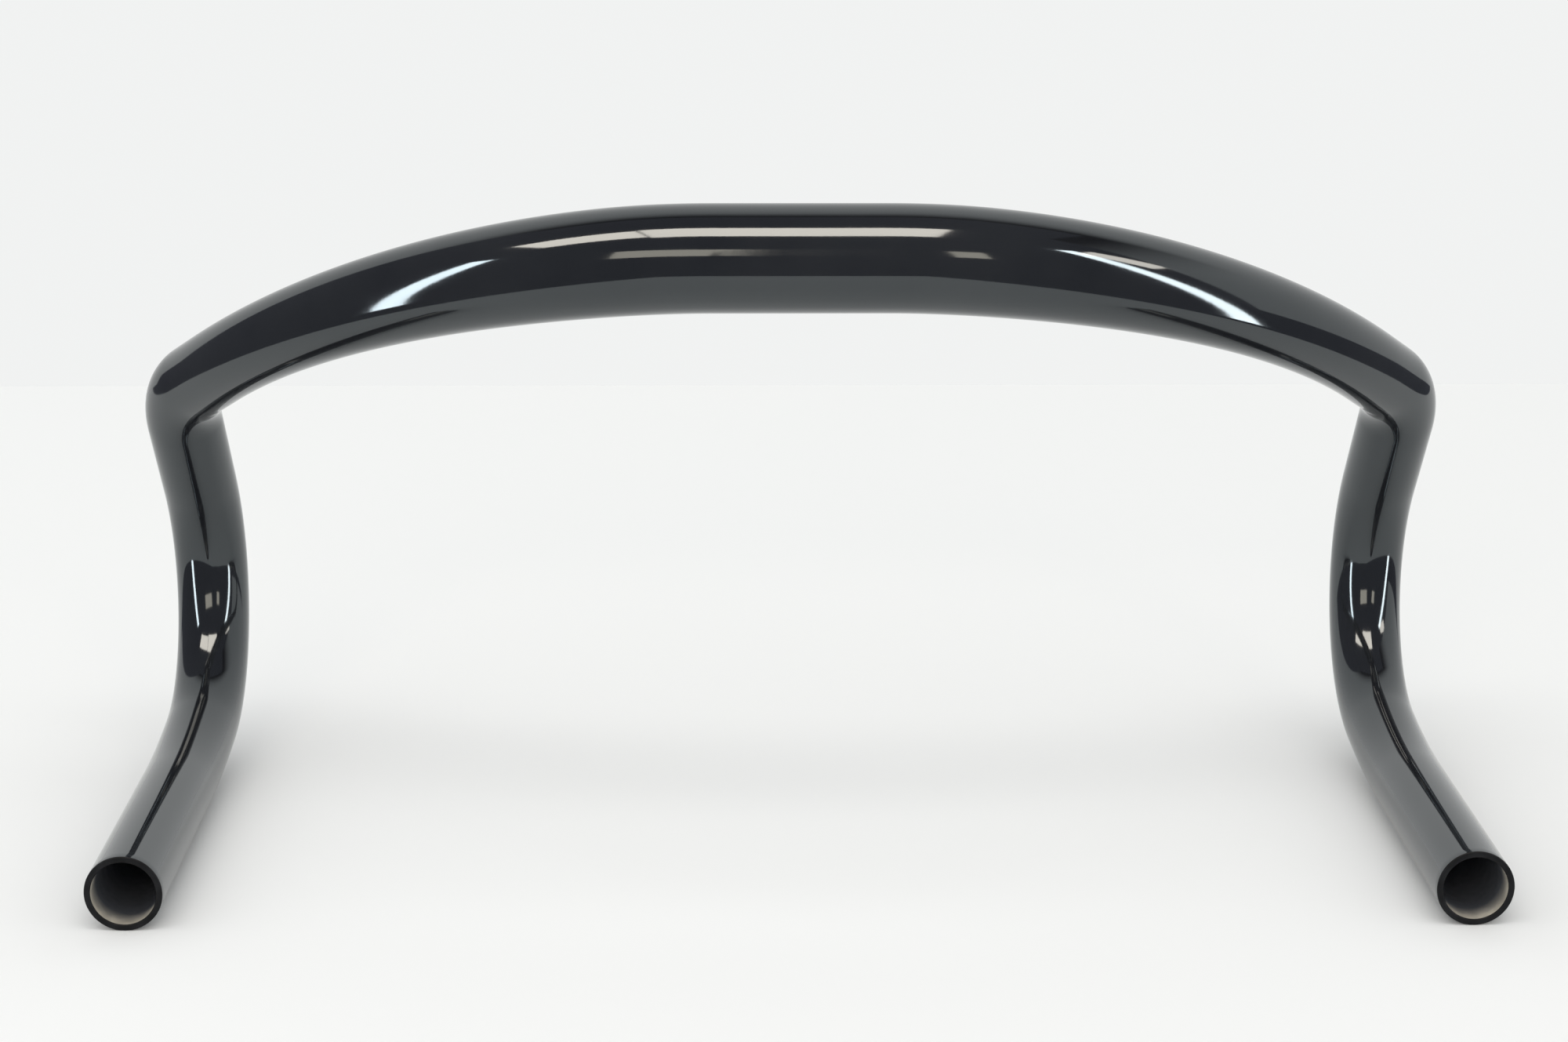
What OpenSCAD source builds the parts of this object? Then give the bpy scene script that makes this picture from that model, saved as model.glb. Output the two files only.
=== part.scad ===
// Track handlebar: one tube, thick where the stem grips it, narrowing as it sweeps
// forward and down, turning through the hooks and running back to two level, open grips.
// The origin is the middle of the clamp zone. +X is across the bar, +Y forward, +Z up.

/* [Clamp zone] */
// Outer diameter of the straight zone that the stem grips
clamp_d = 31.8; // [25.4:0.1:35]
// Length of the straight zone that the stem grips
clamp_len = 50; // [40:1:80]
// Wall thickness in the clamp zone
clamp_wall = 2.4; // [1.6:0.1:4]

/* [Tops] */
// Outer diameter of the tube where the tops end
tops_d = 24; // [22:0.1:28]
// Length beyond the clamp zone that keeps the clamp diameter
taper_lead = 14; // [2:1:25]
// Bend radius of the shoulder next to the clamp zone
shoulder_radius = 155; // [100:5:250]
// Angle of the shoulder bend
shoulder_angle = 12; // [5:0.5:20]
// Bend radius of the long sweep of the tops
sweep_radius = 205; // [160:5:260]
// Angle of the long sweep of the tops
sweep_angle = 41.5; // [30:0.5:48]

/* [Hooks] */
// Straight length between the tops and the corner
corner_lead = 13; // [5:1:30]
// Turn of the bending plane at the corner
corner_turn = 38; // [25:1:50]
// Bend radius of the corner
corner_radius = 28; // [26:1:45]
// Angle of the corner bend
corner_angle = 47.5; // [40:0.5:60]
// Straight length between the corner and the hook
hook_lead = 27; // [10:1:45]
// Turn of the bending plane at the hook
hook_turn = 61; // [45:1:70]
// Bend radius of the hook
hook_radius = 50; // [40:1:65]
// Angle of the hook bend
hook_angle = 106.5; // [90:0.5:115]
// Turn of the bending plane at the drop
drop_turn = 9; // [0:1:25]
// Bend radius of the drop curve
drop_radius = 210; // [150:5:300]
// Angle of the drop curve
drop_angle = 12; // [5:0.5:25]

/* [Grips] */
// Outer diameter of the grips
grip_d = 22.2; // [20:0.1:24]
// Wall thickness of the grips
grip_wall = 1.8; // [1.2:0.1:3]
// Straight length of each grip
grip_len = 89; // [60:1:120]
// Deburred edge, inside and outside, at each open end
rim = 0.4; // [0.2:0.1:0.5]

/* [Hidden] */

// Sides of the swept tube's outside and of its inside
outer_sides = 32;
inner_sides = 16;
// Longest turn and longest step between two sections of the outside and of the inside
outer_turn = 6;
outer_step = 10;
inner_turn = 10;
inner_step = 18;
// How far the swept tube runs into the straight zones, and how much slimmer it is there
seat = 3;
seat_gap = 0.15;
// How far the straight zones reach over the tube's nearest section
lap = 0.5;

clamp_r = clamp_d / 2;
tops_r = tops_d / 2;
grip_r = grip_d / 2;
bore_r = grip_r - grip_wall;

// The bends of one half in order: straight length, turn of the plane, bend radius, bend angle
BENDS = [
    [0, 0, shoulder_radius, shoulder_angle],
    [0, 0, sweep_radius, sweep_angle],
    [corner_lead, -corner_turn, corner_radius, corner_angle],
    [hook_lead, -hook_turn, hook_radius, hook_angle],
    [0, drop_turn, drop_radius, drop_angle]
];

// Length of one bend with its straight, and of the first n of them
function bend_len(bend) = bend[0] + bend[2] * bend[3] * PI / 180;
function run_len(n) = n == 0 ? clamp_len / 2 : run_len(n - 1) + bend_len(BENDS[n - 1]);

taper_from = clamp_len / 2 + taper_lead;
tops_end = run_len(2);
bends_end = run_len(len(BENDS));

// A place on the centre line is [point, direction, bend direction, section direction, length so far]
function spin(v, axis, angle) =
    v * cos(angle) + cross(axis, v) * sin(angle) + axis * (axis * v) * (1 - cos(angle));
function ahead(place, dist) =
    [place[0] + place[1] * dist, place[1], place[2], place[3], place[4] + dist];
function turned(place, angle) =
    [place[0], place[1], spin(place[2], place[1], angle), place[3], place[4]];
function bent(place, radius, angle) =
    let (axis = cross(place[1], place[2]), centre = place[0] + place[2] * radius)
    [
        centre - spin(place[2], axis, angle) * radius,
        spin(place[1], axis, angle),
        spin(place[2], axis, angle),
        spin(place[3], axis, angle),
        place[4] + radius * angle * PI / 180
    ];

// The place at the end of one bend, and the places on the way to it
function after_bend(place, bend) =
    bent(turned(ahead(place, bend[0]), bend[1]), bend[2], bend[3]);
function on_straight(place, dist, step) =
    let (n = ceil(dist / step))
    n == 0 ? [] : [for (i = [1:n]) ahead(place, dist * i / n)];
function on_arc(place, bend, turn, step) =
    let (n = max(ceil(bend[3] / turn), ceil((bend_len(bend) - bend[0]) / step)))
    [for (i = [1:n]) bent(place, bend[2], bend[3] * i / n)];
function on_bend(place, bend, turn, step) =
    concat(
        on_straight(place, bend[0], step),
        on_arc(turned(ahead(place, bend[0]), bend[1]), bend, turn, step)
    );
function on_bends(place, i, turn, step) =
    i == len(BENDS)
    ? []
    : concat(
        on_bend(place, BENDS[i], turn, step),
        on_bends(after_bend(place, BENDS[i]), i + 1, turn, step)
    );
function after_bends(place, i) =
    i == len(BENDS) ? place : after_bends(after_bend(place, BENDS[i]), i + 1);

// The half starts at the clamp zone's end. Its pitch about X is the one that levels the grips.
function start(pitch) =
    [[clamp_len / 2, 0, 0], [1, 0, 0], [0, cos(pitch), sin(pitch)], [0, 0, 1], clamp_len / 2];
unpitched = after_bends(start(0), 0)[1];
pitch = 180 - atan2(unpitched[2], unpitched[1]);
grip_start = after_bends(start(pitch), 0);
grip_heading = atan2(grip_start[1][1], grip_start[1][0]);

// Size of the tube at a length along the centre line
function ease(x) = let (c = min(max(x, 0), 1)) c * c * (3 - 2 * c);
function first_taper(s) = ease((s - taper_from) / (tops_end - taper_from));
function second_taper(s) = ease((s - tops_end) / (bends_end - tops_end));
function outer_r(s) =
    clamp_r + (tops_r - clamp_r) * first_taper(s) + (grip_r - tops_r) * second_taper(s);
function wall(s) = clamp_wall + (grip_wall - clamp_wall) * first_taper(s);
function inner_r(s) = outer_r(s) - wall(s);

// All the places of one half, from inside the clamp zone to inside the grip
function half_path(turn, step) =
    concat(
        [ahead(start(pitch), -seat), ahead(start(pitch), -lap)],
        on_bends(start(pitch), 0, turn, step),
        [ahead(grip_start, seat)]
    );

// The gap at a length along the centre line: none between the two straight zones
function gap(s) = s > clamp_len / 2 && s < bends_end - lap ? 0 : seat_gap;

function section(place, radius, sides) =
    let (across = cross(place[1], place[3]))
    [
        for (k = [0:sides - 1])
            let (a = 360 * k / sides)
            place[0] + (place[3] * cos(a) + across * sin(a)) * radius
    ];

// A tube swept through round sections, one at each place
module swept(path, radii, sides) {
    last = len(path) - 1;
    points = [for (i = [0:last]) each section(path[i], radii[i], sides)];
    skin = [
        for (i = [0:last - 1])
            for (k = [0:sides - 1])
                let (a = i * sides + k, b = i * sides + (k + 1) % sides)
                each [[a, a + sides, b + sides], [a, b + sides, b]]
    ];
    first_face = [for (k = [0:sides - 1]) k];
    last_face = [for (k = [sides - 1:-1:0]) last * sides + k];
    polyhedron(points = points, faces = concat(skin, [first_face], [last_face]));
}

// The grip's axis along +Z, with its open end at grip_len
module at_grip() {
    translate(grip_start[0])
        rotate([0, 90, grip_heading])
            children();
}

module half_outside() {
    path = half_path(outer_turn, outer_step);
    swept(path, [for (place = path) outer_r(place[4]) - gap(place[4])], outer_sides);
    at_grip() {
        translate([0, 0, -lap])
            cylinder(h = grip_len + lap - rim, r = grip_r, $fn = 96);
        translate([0, 0, grip_len - rim])
            cylinder(h = rim, r1 = grip_r, r2 = grip_r - rim, $fn = 96);
    }
}

module half_inside() {
    path = half_path(inner_turn, inner_step);
    swept(path, [for (place = path) inner_r(place[4]) - gap(place[4])], inner_sides);
    at_grip() {
        translate([0, 0, -lap])
            cylinder(h = grip_len + lap, r = bore_r, $fn = 96);
        translate([0, 0, grip_len - rim])
            cylinder(h = 2 * rim, r1 = bore_r, r2 = bore_r + 2 * rim, $fn = 96);
    }
}

module clamp_zone(r) {
    rotate([0, 90, 0])
        cylinder(h = clamp_len, r = r, center = true, $fn = 96);
}

module both_halves() {
    children();
    mirror([1, 0, 0])
        children();
}

module handlebar() {
    color("#1f2226")
        difference() {
            union() {
                clamp_zone(clamp_r);
                both_halves()
                    half_outside();
            }
            clamp_zone(clamp_r - clamp_wall);
            both_halves()
                half_inside();
        }
}

handlebar();
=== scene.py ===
"""A gloss black track handlebar on a pale floor in front of a pale wall."""

import logging
import math
from dataclasses import dataclass
from enum import Enum
from typing import Callable

import bmesh
import bpy
from mathutils import Matrix, Vector


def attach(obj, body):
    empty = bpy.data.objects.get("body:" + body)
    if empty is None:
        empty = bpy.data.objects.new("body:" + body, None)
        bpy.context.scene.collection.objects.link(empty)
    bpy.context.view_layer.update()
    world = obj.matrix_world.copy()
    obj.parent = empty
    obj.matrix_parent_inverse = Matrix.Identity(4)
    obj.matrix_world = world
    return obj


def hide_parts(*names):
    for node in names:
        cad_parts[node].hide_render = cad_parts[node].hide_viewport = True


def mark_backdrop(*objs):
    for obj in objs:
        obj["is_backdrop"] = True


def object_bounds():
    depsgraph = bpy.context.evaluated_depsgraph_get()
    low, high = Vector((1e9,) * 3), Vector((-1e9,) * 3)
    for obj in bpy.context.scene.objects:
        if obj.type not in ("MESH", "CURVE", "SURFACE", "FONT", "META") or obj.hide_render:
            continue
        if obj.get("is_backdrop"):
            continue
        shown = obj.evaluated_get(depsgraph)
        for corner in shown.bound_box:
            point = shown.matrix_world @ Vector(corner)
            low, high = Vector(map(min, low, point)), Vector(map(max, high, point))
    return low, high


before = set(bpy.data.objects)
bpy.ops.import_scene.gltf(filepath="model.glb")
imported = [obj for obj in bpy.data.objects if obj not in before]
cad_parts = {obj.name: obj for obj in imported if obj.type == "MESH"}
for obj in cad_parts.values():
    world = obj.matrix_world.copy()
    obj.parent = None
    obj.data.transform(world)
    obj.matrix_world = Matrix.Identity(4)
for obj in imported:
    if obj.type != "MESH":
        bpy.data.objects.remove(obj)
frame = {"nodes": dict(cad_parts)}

LOG = logging.getLogger("handlebar")
MM = 0.001
PHOTO_SIZE = (2000, 1329)
SENSOR_WIDTH = 36.0
SEAM_REACH = 0.001
WELD_REACH = 0.0005

Colour = tuple[float, float, float, float]


class RayKind(Enum):
    """Light Path outputs that the studio reads."""

    CAMERA = "Is Camera Ray"
    GLOSSY = "Is Glossy Ray"


class Skin(Enum):
    """The tube's finishes, by material slot."""

    COAT = 0
    RIM = 1
    BORE = 2


class Aim(Enum):
    """Ways in which a lamp faces."""

    BAR = "at the bar"
    LEVEL = "level, towards the bar"
    DOWN = "straight down"


def new_material(name: str) -> tuple[bpy.types.Material, bpy.types.Node]:
    """Makes a node material with one Principled shader.

    Args:
        name: The material's name.

    Returns:
        The material and its Principled shader node.
    """
    material = bpy.data.materials.new(name)
    material.use_nodes = True
    return material, material.node_tree.nodes["Principled BSDF"]


def blend(
    tree: bpy.types.NodeTree,
    share: bpy.types.NodeSocket,
    first: Colour | bpy.types.NodeSocket,
    last: Colour,
) -> bpy.types.NodeSocket:
    """Adds a blend of two colours.

    Args:
        tree: The node tree that gets the blend.
        share: The socket with the last colour's share.
        first: The colour at a share of 0, or the socket that gives it.
        last: The colour at a share of 1.

    Returns:
        The socket with the blended colour.
    """
    mix = tree.nodes.new("ShaderNodeMix")
    mix.data_type = "RGBA"
    if isinstance(first, bpy.types.NodeSocket):
        tree.links.new(first, mix.inputs["A"])
    else:
        mix.inputs["A"].default_value = first
    mix.inputs["B"].default_value = last
    tree.links.new(share, mix.inputs["Factor"])
    return mix.outputs["Result"]


@dataclass(frozen=True)
class Speckle:
    """A noise pattern on Object coordinates, spread over a range of values."""

    scale: float
    detail: float
    low: float
    high: float
    start: float = 0.35
    stop: float = 0.65

    def output(self, material: bpy.types.Material) -> bpy.types.NodeSocket:
        """Adds the pattern's nodes.

        Args:
            material: The material that gets the nodes.

        Returns:
            The socket with the value between low and high.
        """
        nodes, links = material.node_tree.nodes, material.node_tree.links
        place = nodes.new("ShaderNodeTexCoord")
        noise = nodes.new("ShaderNodeTexNoise")
        noise.inputs["Scale"].default_value = self.scale
        noise.inputs["Detail"].default_value = self.detail
        span = nodes.new("ShaderNodeMapRange")
        span.inputs["From Min"].default_value = self.start
        span.inputs["From Max"].default_value = self.stop
        span.inputs["To Min"].default_value = self.low
        span.inputs["To Max"].default_value = self.high
        links.new(place.outputs["Object"], noise.inputs["Vector"])
        links.new(noise.outputs["Fac"], span.inputs["Value"])
        return span.outputs["Result"]


@dataclass(frozen=True)
class BlackCoat:
    """The gloss black coat on the outside of the tube."""

    deep: Colour = (0.0098, 0.0105, 0.0125, 1.0)
    pale: Colour = (0.014, 0.0148, 0.0168, 1.0)
    ior: float = 1.7
    sheen: Colour = (0.88, 0.97, 1.0, 1.0)
    clouds: Speckle = Speckle(scale=28.0, detail=3.0, low=0.0, high=1.0)
    polish: Speckle = Speckle(scale=60.0, detail=6.0, low=0.06, high=0.085)
    peel: Speckle = Speckle(scale=420.0, detail=2.0, low=0.0, high=1.0)
    peel_height: float = 0.0000014

    def material(self) -> bpy.types.Material:
        """Builds the coat: near black, glossy, a little uneven in colour, polish and level.

        Returns:
            The finished material.
        """
        material, shader = new_material("black_coat")
        nodes, links = material.node_tree.nodes, material.node_tree.links
        shader.inputs["IOR"].default_value = self.ior
        shader.inputs["Specular Tint"].default_value = self.sheen
        tone = blend(material.node_tree, self.clouds.output(material), self.deep, self.pale)
        links.new(tone, shader.inputs["Base Color"])
        links.new(self.polish.output(material), shader.inputs["Roughness"])
        bump = nodes.new("ShaderNodeBump")
        bump.inputs["Distance"].default_value = self.peel_height
        links.new(self.peel.output(material), bump.inputs["Height"])
        links.new(bump.outputs["Normal"], shader.inputs["Normal"])
        return material


@dataclass(frozen=True)
class DullEdge:
    """The cut edge of the tube, where the coat is thin and dull."""

    dark: Colour = (0.003, 0.0033, 0.0042, 1.0)
    worn: Colour = (0.009, 0.0095, 0.0112, 1.0)
    gloss: float = 0.16
    wear: Speckle = Speckle(scale=240.0, detail=4.0, low=0.0, high=1.0)
    grind: Speckle = Speckle(scale=500.0, detail=3.0, low=0.4, high=0.55)

    def material(self) -> bpy.types.Material:
        """Builds the edge: black, worn in places, with an uneven roughness.

        Returns:
            The finished material.
        """
        material, shader = new_material("dull_edge")
        links = material.node_tree.links
        shader.inputs["Specular IOR Level"].default_value = self.gloss
        tone = blend(material.node_tree, self.wear.output(material), self.dark, self.worn)
        links.new(tone, shader.inputs["Base Color"])
        links.new(self.grind.output(material), shader.inputs["Roughness"])
        return material


@dataclass(frozen=True)
class DrawnBore:
    """The drawn metal inside the tube, bare at the mouth, with painted shade further in. Lengths in
    metres.

    The mouth is the Y near the rim at which the painted shade starts, over the shade's length.
    """

    dark: Colour = (0.46, 0.43, 0.365, 1.0)
    light: Colour = (0.66, 0.62, 0.53, 1.0)
    # deep: painted shade, the colour that stands in for the shade inside the tube
    deep: Colour = (0.14, 0.15, 0.175, 1.0)
    mouth: float = -0.062
    shade: float = 0.007
    metallic: float = 0.35
    scratches: Speckle = Speckle(scale=350.0, detail=4.0, low=0.4, high=0.6)
    grain: Speckle = Speckle(scale=160.0, detail=5.0, low=0.0, high=1.0)

    def material(self) -> bpy.types.Material:
        """Builds the metal, with a streaked colour under painted shade deeper in the bore, and an
        uneven roughness.

        Returns:
            The finished material.
        """
        material, shader = new_material("drawn_bore")
        nodes, links = material.node_tree.nodes, material.node_tree.links
        shader.inputs["Metallic"].default_value = self.metallic
        place = nodes.new("ShaderNodeTexCoord")
        split = nodes.new("ShaderNodeSeparateXYZ")
        # Painted shade: past the mouth the streaked metal blends into the deep colour, where the
        # tube's inside is in shade
        shade_share = nodes.new("ShaderNodeMapRange")
        shade_share.inputs["From Min"].default_value = self.mouth
        shade_share.inputs["From Max"].default_value = self.mouth + self.shade
        links.new(place.outputs["Object"], split.inputs["Vector"])
        links.new(split.outputs["Y"], shade_share.inputs["Value"])
        bare = blend(material.node_tree, self.grain.output(material), self.dark, self.light)
        tone = blend(material.node_tree, shade_share.outputs["Result"], bare, self.deep)
        links.new(tone, shader.inputs["Base Color"])
        links.new(self.scratches.output(material), shader.inputs["Roughness"])
        return material


@dataclass(frozen=True)
class Bend:
    """One bend of the tube, in millimetres and degrees, as a tube bender takes it."""

    lead: float
    turn: float
    radius: float
    angle: float

    @property
    def length(self) -> float:
        """Length along the centre line, with the straight before the bend."""
        return self.lead + math.radians(self.angle) * self.radius


@dataclass(frozen=True)
class Station:
    """A place on the centre line: a frame with X along the tube, and the length up to it."""

    frame: Matrix
    length: float

    def ahead(self, distance: float) -> "Station":
        """The place a distance straight on."""
        return Station(self.frame @ Matrix.Translation((distance, 0, 0)), self.length + distance)

    def bent(self, plane: float, radius: float, angle: float) -> "Station":
        """The place at the end of an arc.

        Args:
            plane: Angle of the bending plane round the tube, in radians.
            radius: The bend radius.
            angle: The bend angle, in radians.

        Returns:
            The new place, whose frame hasn't spun round the tube.
        """
        centre = Matrix.Translation((0, radius, 0))
        swing = centre @ Matrix.Rotation(angle, 4, "Z") @ centre.inverted()
        spin = Matrix.Rotation(plane, 4, "X")
        return Station(self.frame @ spin @ swing @ spin.inverted(), self.length + radius * angle)


def ease(share: float) -> float:
    """Smooth step from 0 to 1."""
    share = min(max(share, 0.0), 1.0)
    return share * share * (3.0 - 2.0 * share)


@dataclass
class TrackBar:
    """The bent and tapered tube, from rim to rim. Sizes in millimetres and degrees."""

    clamp_d: float = 31.8
    clamp_len: float = 50.0
    clamp_wall: float = 2.4
    tops_d: float = 24.0
    taper_lead: float = 14.0
    grip_d: float = 22.2
    grip_wall: float = 1.8
    grip_len: float = 89.0
    rim: float = 0.4
    bends: tuple[Bend, ...] = (
        Bend(lead=0.0, turn=0.0, radius=155.0, angle=12.0),
        Bend(lead=0.0, turn=0.0, radius=205.0, angle=41.5),
        Bend(lead=13.0, turn=-38.0, radius=28.0, angle=47.5),
        Bend(lead=27.0, turn=-61.0, radius=50.0, angle=106.5),
        Bend(lead=0.0, turn=9.0, radius=210.0, angle=12.0),
    )
    around: int = 96
    outer_step: float = 3.0
    outer_turn: float = 2.5
    inner_step: float = 8.0
    inner_turn: float = 6.0
    rim_rings: int = 4
    coat: BlackCoat = BlackCoat()
    edge: DullEdge = DullEdge()
    bore: DrawnBore = DrawnBore()

    @property
    def tops_end(self) -> float:
        """Length along the centre line where the tops end."""
        return self.clamp_len / 2 + sum(bend.length for bend in self.bends[:2])

    @property
    def bends_end(self) -> float:
        """Length along the centre line where the grip starts."""
        return self.clamp_len / 2 + sum(bend.length for bend in self.bends)

    @property
    def pitch(self) -> float:
        """Pitch of the tops, in radians, that levels the grips."""
        heading = self.stations(math.inf, math.inf, pitch=0.0)[-1].frame.to_3x3().col[0]
        return math.pi - math.atan2(heading.z, heading.y)

    def first_taper(self, length: float) -> float:
        """Share of the taper over the tops at a length along the centre line."""
        start = self.clamp_len / 2 + self.taper_lead
        return ease((length - start) / (self.tops_end - start))

    def outer_radius(self, length: float) -> float:
        """Outer radius at a length along the centre line."""
        second = ease((length - self.tops_end) / (self.bends_end - self.tops_end))
        tops = (self.tops_d - self.clamp_d) / 2 * self.first_taper(length)
        return self.clamp_d / 2 + tops + (self.grip_d - self.tops_d) / 2 * second

    def inner_radius(self, length: float) -> float:
        """Inner radius at a length along the centre line."""
        thinning = (self.grip_wall - self.clamp_wall) * self.first_taper(length)
        return self.outer_radius(length) - self.clamp_wall - thinning

    def stations(self, step: float, turn: float, pitch: float) -> list[Station]:
        """Walks one half of the centre line, from the middle of the bar to the rim.

        Args:
            step: Longest step between two places, in millimetres.
            turn: Longest turn between two places, in degrees.
            pitch: Angle of the first bending plane, in radians.

        Returns:
            The places in order.
        """
        places = [Station(Matrix.Identity(4), 0.0)]
        plane = pitch
        self._go_straight(places, self.clamp_len / 2, step)
        for bend in self.bends:
            self._go_straight(places, bend.lead, step)
            plane += math.radians(bend.turn)
            arc = bend.length - bend.lead
            count = max(1, math.ceil(bend.angle / turn), math.ceil(arc / step))
            start = places[-1]
            places += [
                start.bent(plane, bend.radius, math.radians(bend.angle) * k / count)
                for k in range(1, count + 1)
            ]
        self._go_straight(places, self.grip_len - self.rim, step)
        return places

    @staticmethod
    def _go_straight(places: list[Station], distance: float, step: float) -> None:
        """Adds places along a straight.

        Args:
            places: The places so far, which the new ones join.
            distance: Length of the straight.
            step: Longest step between two places.
        """
        start = places[-1]
        count = max(1, math.ceil(distance / step)) if distance > 0 else 0
        places += [start.ahead(distance * k / count) for k in range(1, count + 1)]

    def build(self) -> bpy.types.Object:
        """Draws the tube: outside, rim and inside of the right half, then the mirror half.

        Returns:
            The object, in metres, at the origin.
        """
        bm = bmesh.new()
        outside = self.stations(self.outer_step, self.outer_turn, self.pitch)
        inside = self.stations(self.inner_step, self.inner_turn, self.pitch)[::-1]
        facing = Matrix.Rotation(math.pi / 2, 4, "Y")
        ring = bmesh.ops.create_circle(
            bm, segments=self.around, radius=self.outer_radius(0.0), matrix=facing
        )
        edges = list({edge for vert in ring["verts"] for edge in vert.link_edges})
        edges = self._draw(bm, edges, outside, self.outer_radius, Skin.COAT)
        edges = self._turn_rim(bm, edges, outside[-1])
        self._draw(bm, edges, inside, self.inner_radius, Skin.BORE)
        half = bm.verts[:] + bm.edges[:] + bm.faces[:]
        bmesh.ops.mirror(bm, geom=half, matrix=Matrix.Identity(4), merge_dist=SEAM_REACH, axis="X")
        bmesh.ops.remove_doubles(bm, verts=bm.verts[:], dist=WELD_REACH)
        bmesh.ops.recalc_face_normals(bm, faces=bm.faces[:])
        bmesh.ops.scale(bm, vec=(MM, MM, MM), verts=bm.verts[:])
        for face in bm.faces:
            face.smooth = True
        mesh = bpy.data.meshes.new("track_bar")
        bm.to_mesh(mesh)
        bm.free()
        bar = bpy.data.objects.new("track_bar", mesh)
        bpy.context.scene.collection.objects.link(bar)
        return bar

    def _draw(
        self,
        bm: bmesh.types.BMesh,
        edges: list[bmesh.types.BMEdge],
        places: list[Station],
        radius: Callable[[float], float],
        skin: Skin,
    ) -> list[bmesh.types.BMEdge]:
        """Draws the last ring along the places, easing its size as it goes.

        Args:
            bm: The mesh.
            edges: The last ring's edges, which lie at the first place.
            places: The places, the first one being where the ring is.
            radius: Gives the tube's radius at a length.
            skin: The finish of the new faces.

        Returns:
            The new last ring's edges.
        """
        for here, there in zip(places, places[1:]):
            grow = Matrix.Scale(radius(there.length) / radius(here.length), 4)
            move = there.frame @ grow @ here.frame.inverted()
            edges = self._extrude(bm, edges, move, skin)
        return edges

    def _turn_rim(
        self, bm: bmesh.types.BMesh, edges: list[bmesh.types.BMEdge], place: Station
    ) -> list[bmesh.types.BMEdge]:
        """Turns the rim: a rounded outer edge, a flat cut face and a rounded inner edge.

        Args:
            bm: The mesh.
            edges: The outer wall's last ring.
            place: The place where the rounding starts.

        Returns:
            The inner wall's first ring.
        """
        outer, inner = self.outer_radius(place.length), self.inner_radius(place.length)
        profile = [(0.0, outer)]
        for k in range(1, self.rim_rings + 1):
            angle = math.pi / 2 * k / self.rim_rings
            profile.append((self.rim * math.sin(angle), outer - self.rim * (1 - math.cos(angle))))
        for k in range(self.rim_rings, -1, -1):
            angle = math.pi / 2 * k / self.rim_rings
            profile.append((self.rim * math.sin(angle), inner + self.rim * (1 - math.cos(angle))))
        for (from_x, from_r), (to_x, to_r) in zip(profile, profile[1:]):
            shift = Matrix.Translation((to_x - from_x, 0, 0))
            at_ring = place.frame @ Matrix.Translation((from_x, 0, 0))
            move = at_ring @ shift @ Matrix.Scale(to_r / from_r, 4) @ at_ring.inverted()
            edges = self._extrude(bm, edges, move, Skin.RIM)
        return edges

    @staticmethod
    def _extrude(
        bm: bmesh.types.BMesh, edges: list[bmesh.types.BMEdge], move: Matrix, skin: Skin
    ) -> list[bmesh.types.BMEdge]:
        """Extrudes a ring once.

        Args:
            bm: The mesh.
            edges: The ring's edges.
            move: What the new ring does from where the old one is.
            skin: The finish of the new faces.

        Returns:
            The new ring's edges.
        """
        made = bmesh.ops.extrude_edge_only(bm, edges=edges)["geom"]
        verts = [item for item in made if isinstance(item, bmesh.types.BMVert)]
        bmesh.ops.transform(bm, matrix=move, space=Matrix.Identity(4), verts=verts)
        for item in made:
            if isinstance(item, bmesh.types.BMFace):
                item.material_index = skin.value
        return [item for item in made if isinstance(item, bmesh.types.BMEdge)]

    def dress(self, bar: bpy.types.Object) -> None:
        """Gives the tube its finishes, in the order of Skin."""
        for finish in (self.coat, self.edge, self.bore):
            bar.data.materials.append(finish.material())


@dataclass(frozen=True)
class Lamp:
    """A soft lamp, which the camera doesn't see. Sizes in metres, angles in degrees."""

    name: str
    azimuth: float
    elevation: float
    distance: float
    width: float
    height: float
    radiance: float
    colour: tuple[float, float, float]
    aim: Aim = Aim.BAR
    lean: float = 0.0
    in_gloss: bool = True
    on_matte: bool = True

    def build(self) -> bpy.types.Object:
        """Hangs the lamp at its place, seen from the middle of the bar, and aims it.

        Returns:
            The lamp.
        """
        across, up = math.radians(self.azimuth), math.radians(self.elevation)
        level = Vector((math.sin(across), -math.cos(across), 0))
        data = bpy.data.lights.new(self.name, "AREA")
        data.shape = "RECTANGLE"
        data.size, data.size_y = self.width, self.height
        data.energy = self.radiance * math.pi * self.width * self.height
        data.color = self.colour
        lamp = bpy.data.objects.new(self.name, data)
        lamp.location = (level * math.cos(up) + Vector((0, 0, math.sin(up)))) * self.distance
        tilt = {Aim.BAR: math.pi / 2 - up, Aim.LEVEL: math.pi / 2, Aim.DOWN: 0.0}[self.aim]
        swing = 0.0 if self.aim is Aim.DOWN else across
        lamp.rotation_euler = (tilt, math.radians(self.lean), swing)
        lamp.visible_camera = False
        lamp.visible_glossy = self.in_gloss
        lamp.visible_diffuse = self.on_matte
        bpy.context.scene.collection.objects.link(lamp)
        return lamp


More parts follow.
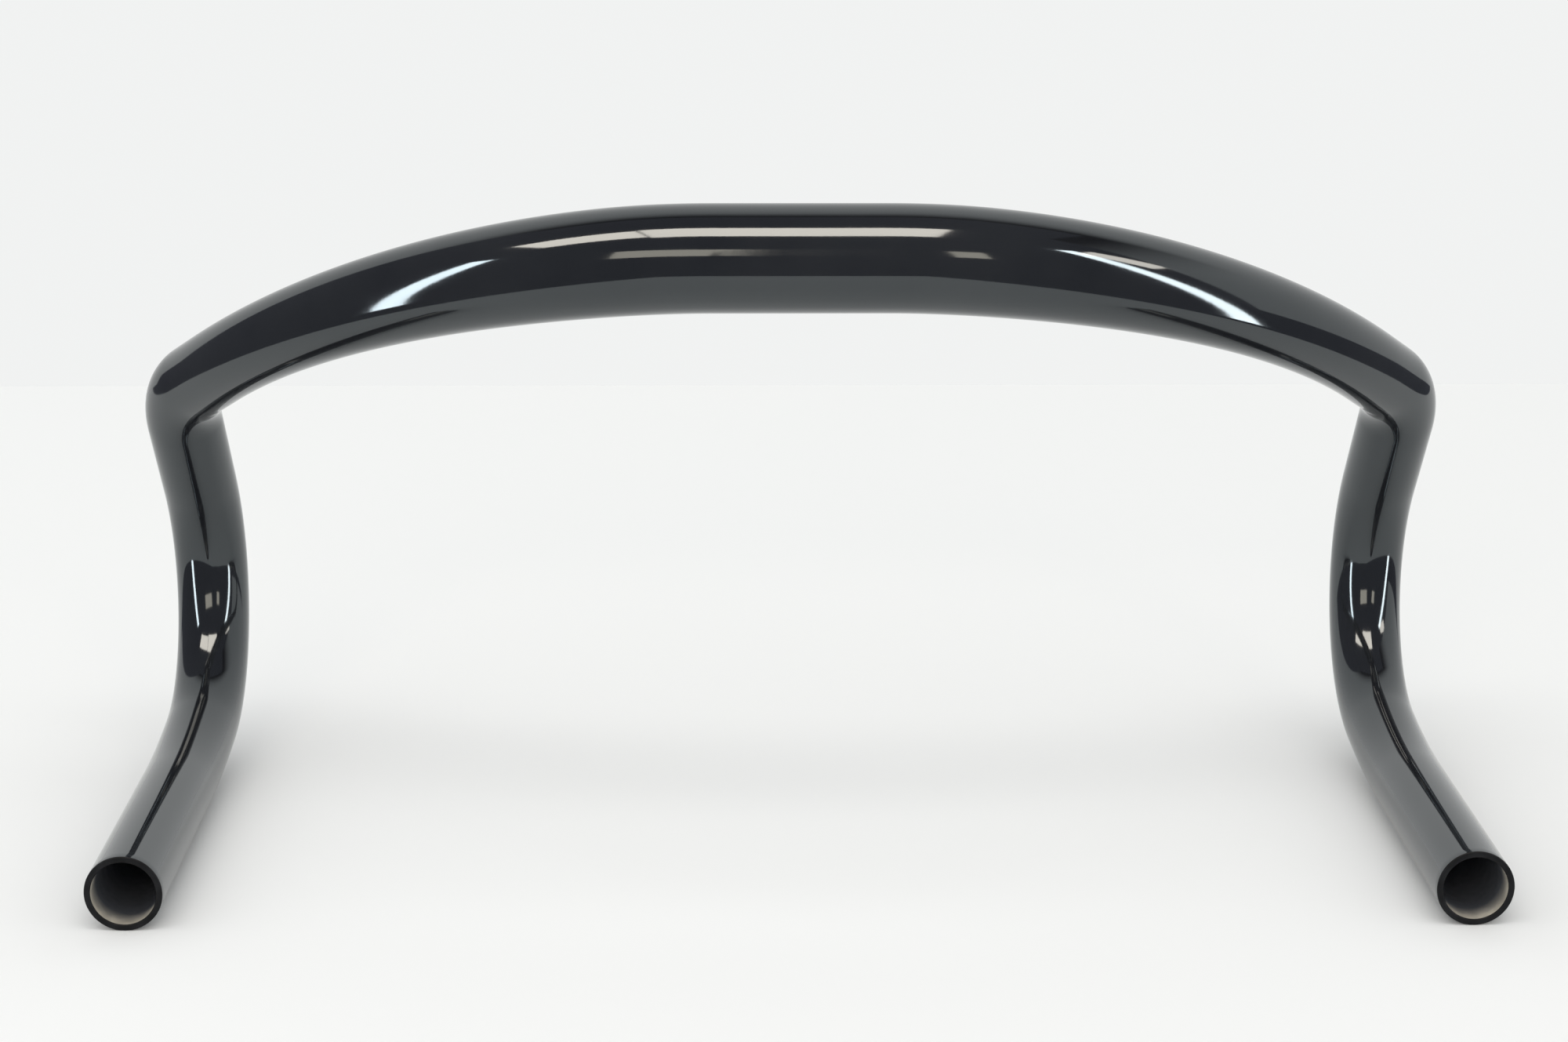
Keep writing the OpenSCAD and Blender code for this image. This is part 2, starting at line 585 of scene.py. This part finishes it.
@dataclass
class Studio:
    """A pale floor and wall, and soft lamps in a dark room. Sizes in metres.

    In the gloss the floor has the edges of a small table.
    """

    table_front: float = -0.365
    front_corners: tuple[float, float] = (-0.10, 0.10)
    wall_distance: float = 0.651
    back_corners: tuple[float, float] = (-0.9, 0.84)
    wall_height: float = 2.6
    wall_sides: tuple[float, float] = (-1.15, 1.6)
    side_wall_front: float = -0.43
    wall_fade: tuple[float, float] = (1.0, 2.4)
    floor_reach: float = 6.0
    table_lift: float = 0.0002
    floor_tone: Colour = (0.9, 0.905, 0.9, 1.0)
    wall_tone: Colour = (0.88, 0.89, 0.885, 1.0)
    fill: Colour = (0.985, 0.995, 1.0, 1.0)
    room: Colour = (0.12, 0.125, 0.15, 1.0)
    lamps: tuple[Lamp, ...] = (
        Lamp(
            name="left_strip", azimuth=-59.1, elevation=5.0, distance=2.303,
            width=0.235, height=2.5, radiance=15.0, colour=(0.9, 0.96, 1.0),
            aim=Aim.LEVEL, on_matte=False,
        ),
        Lamp(
            name="right_strip", azimuth=62.2, elevation=5.2, distance=2.279,
            width=0.22, height=3.45, radiance=15.0, colour=(0.94, 0.98, 1.0),
            aim=Aim.LEVEL, lean=-9.7, on_matte=False,
        ),
        Lamp(
            name="warm_side", azimuth=65.5, elevation=34.0, distance=3.13,
            width=0.5, height=0.9, radiance=8.0, colour=(1.0, 0.88, 0.78),
            aim=Aim.LEVEL, lean=-35.0, on_matte=False,
        ),
        Lamp(
            name="overhead_left", azimuth=-51.3, elevation=54.7, distance=2.022,
            width=0.867, height=0.56, radiance=9.5, colour=(1.0, 0.87, 0.76),
            aim=Aim.DOWN, on_matte=False,
        ),
        Lamp(
            name="overhead_right", azimuth=0.4, elevation=65.6, distance=1.812,
            width=0.925, height=0.66, radiance=9.5, colour=(1.0, 0.87, 0.76),
            aim=Aim.DOWN, on_matte=False,
        ),
        Lamp(
            name="soft_top", azimuth=-15.0, elevation=67.0, distance=1.8,
            width=1.6, height=0.6, radiance=1.8, colour=(1.0, 0.98, 0.95),
            aim=Aim.DOWN, in_gloss=False,
        ),
        Lamp(
            name="far_left", azimuth=-12.5, elevation=22.0, distance=3.0,
            width=1.12, height=0.7, radiance=3.4, colour=(1.0, 0.87, 0.72),
        ),
        Lamp(
            name="far_middle", azimuth=-0.4, elevation=22.0, distance=3.0,
            width=0.031, height=0.7, radiance=3.4, colour=(1.0, 0.87, 0.72),
        ),
        Lamp(
            name="far_right", azimuth=21.8, elevation=20.0, distance=3.0,
            width=0.42, height=0.6, radiance=3.4, colour=(1.0, 0.87, 0.72),
        ),
    )

    def build(self) -> None:
        """Sets floor, wall, world and lamps round the object that is already there."""
        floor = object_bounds()[0].z
        far, reach = self.wall_distance, self.floor_reach
        ground = self._sheet("floor", -reach, (-reach, reach), far, (-reach, reach), floor)
        ground.visible_glossy = False
        top = floor + self.table_lift
        front, back = self.front_corners, self.back_corners
        table = self._sheet("table", self.table_front, front, far, back, top)
        table.visible_camera = table.visible_diffuse = table.visible_shadow = False
        left, right = self.wall_sides
        wall = self._wall("wall", (left, far), (right, far), floor)
        side_wall = self._wall("side_wall", (right, far), (right, self.side_wall_front), floor)
        surface = self._matte("floor_card", self.floor_tone)
        ground.data.materials.append(surface)
        table.data.materials.append(surface)
        lit = self._glow("wall_card", self.wall_tone, floor)
        wall.data.materials.append(lit)
        side_wall.data.materials.append(lit)
        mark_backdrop(ground, table, wall, side_wall)
        self._light_world()
        for lamp in self.lamps:
            lamp.build()

    def _sheet(
        self,
        name: str,
        near: float,
        near_sides: tuple[float, float],
        far: float,
        far_sides: tuple[float, float],
        height: float,
    ) -> bpy.types.Object:
        """Makes a level sheet with four corners.

        Args:
            name: The object's name.
            near: Y of the near edge.
            near_sides: Left and right X of the near edge.
            far: Y of the far edge.
            far_sides: Left and right X of the far edge.
            height: Its Z.

        Returns:
            The object.
        """
        bm = bmesh.new()
        corners = [(x, near) for x in near_sides] + [(x, far) for x in reversed(far_sides)]
        bm.faces.new([bm.verts.new((x, y, height)) for x, y in corners])
        return self._link(name, bm)

    def _wall(
        self, name: str, start: tuple[float, float], end: tuple[float, float], floor: float
    ) -> bpy.types.Object:
        """Makes a wall, which lights and shows in gloss but doesn't hide the back view.

        Args:
            name: The wall's name.
            start: X and Y of its first end.
            end: X and Y of its other end.
            floor: The floor's height.

        Returns:
            The wall.
        """
        bm = bmesh.new()
        foot = bm.edges.new([bm.verts.new((x, y, floor)) for x, y in (start, end)])
        raised = bmesh.ops.extrude_edge_only(bm, edges=[foot])["geom"]
        top = [item for item in raised if isinstance(item, bmesh.types.BMVert)]
        bmesh.ops.translate(bm, vec=(0, 0, self.wall_height), verts=top)
        wall = self._link(name, bm)
        wall.visible_camera = False
        return wall

    @staticmethod
    def _link(name: str, bm: bmesh.types.BMesh) -> bpy.types.Object:
        """Turns a mesh in the making into an object in the scene."""
        mesh = bpy.data.meshes.new(name)
        bm.to_mesh(mesh)
        bm.free()
        made = bpy.data.objects.new(name, mesh)
        bpy.context.scene.collection.objects.link(made)
        return made

    @staticmethod
    def _matte(name: str, tone: Colour) -> bpy.types.Material:
        """Makes a matte material.

        Args:
            name: The material's name.
            tone: Its colour.

        Returns:
            The material.
        """
        material, shader = new_material(name)
        shader.inputs["Base Color"].default_value = tone
        shader.inputs["Roughness"].default_value = 1.0
        shader.inputs["Specular IOR Level"].default_value = 0.0
        return material

    def _glow(
        self, name: str, tone: Colour, floor: float
    ) -> bpy.types.Material:
        """Makes a lit surface that fades with its height.

        Args:
            name: The material's name.
            tone: Its colour as it shows.
            floor: The floor's height.

        Returns:
            The material.
        """
        material, shader = new_material(name)
        nodes, links = material.node_tree.nodes, material.node_tree.links
        shader.inputs["Base Color"].default_value = (0, 0, 0, 1)
        shader.inputs["Specular IOR Level"].default_value = 0.0
        shader.inputs["Emission Color"].default_value = tone
        place = nodes.new("ShaderNodeTexCoord")
        split = nodes.new("ShaderNodeSeparateXYZ")
        fade = nodes.new("ShaderNodeMapRange")
        fade.interpolation_type = "SMOOTHSTEP"
        fade.inputs["From Min"].default_value = floor + self.wall_fade[0]
        fade.inputs["From Max"].default_value = floor + self.wall_fade[1]
        fade.inputs["To Min"].default_value = 1.0
        fade.inputs["To Max"].default_value = 0.0
        links.new(place.outputs["Object"], split.inputs["Vector"])
        links.new(split.outputs["Z"], fade.inputs["Value"])
        links.new(fade.outputs["Result"], shader.inputs["Emission Strength"])
        return material

    def _light_world(self) -> None:
        """Sets the world: pale behind the object, an even fill, and a dark room in the gloss."""
        world = bpy.data.worlds.new("studio")
        world.use_nodes = True
        bpy.context.scene.world = world
        tree = world.node_tree
        rays = tree.nodes.new("ShaderNodeLightPath").outputs
        tone = blend(tree, rays[RayKind.GLOSSY.value], self.fill, self.room)
        tone = blend(tree, rays[RayKind.CAMERA.value], tone, self.wall_tone)
        background = tree.nodes["Background"]
        tree.links.new(tone, background.inputs["Color"])
        background.inputs["Strength"].default_value = 1.0


@dataclass(frozen=True)
class PhotoCamera:
    """The camera at the photograph's viewing angle. Place in millimetres, angles in degrees."""

    place: tuple[float, float, float] = (-20.6, -936.5, 169.2)
    yaw: float = 1.005
    pitch: float = 14.8
    roll: float = -0.134
    focal_pixels: float = 4200.0

    def build(self) -> bpy.types.Object:
        """Sets the scene's camera.

        Returns:
            The camera.
        """
        data = bpy.data.cameras.new("photo_camera")
        data.sensor_width = SENSOR_WIDTH
        data.lens = self.focal_pixels * SENSOR_WIDTH / PHOTO_SIZE[0]
        camera = bpy.data.objects.new("photo_camera", data)
        aim = Matrix.Rotation(-math.radians(self.yaw), 4, "Z")
        tilt = Matrix.Rotation(math.pi / 2 - math.radians(self.pitch), 4, "X")
        level = Matrix.Rotation(-math.radians(self.roll), 4, "Z")
        camera.matrix_world = Matrix.Translation(Vector(self.place) * MM) @ aim @ tilt @ level
        bpy.context.scene.collection.objects.link(camera)
        bpy.context.scene.camera = camera
        return camera


def main() -> None:
    """Builds the handlebar, the studio and the camera."""
    logging.basicConfig(level=logging.INFO, format="%(name)s: %(message)s")
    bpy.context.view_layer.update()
    maker = TrackBar()
    bar = maker.build()
    maker.dress(bar)
    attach(bar, "root")
    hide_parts("handlebar")
    LOG.info("%s: %d faces, %d finishes", bar.name, len(bar.data.polygons), len(bar.data.materials))
    Studio().build()
    PhotoCamera().build()
    scene = bpy.context.scene
    scene.view_settings.view_transform = "Standard"


if __name__ == "__main__":
    main()
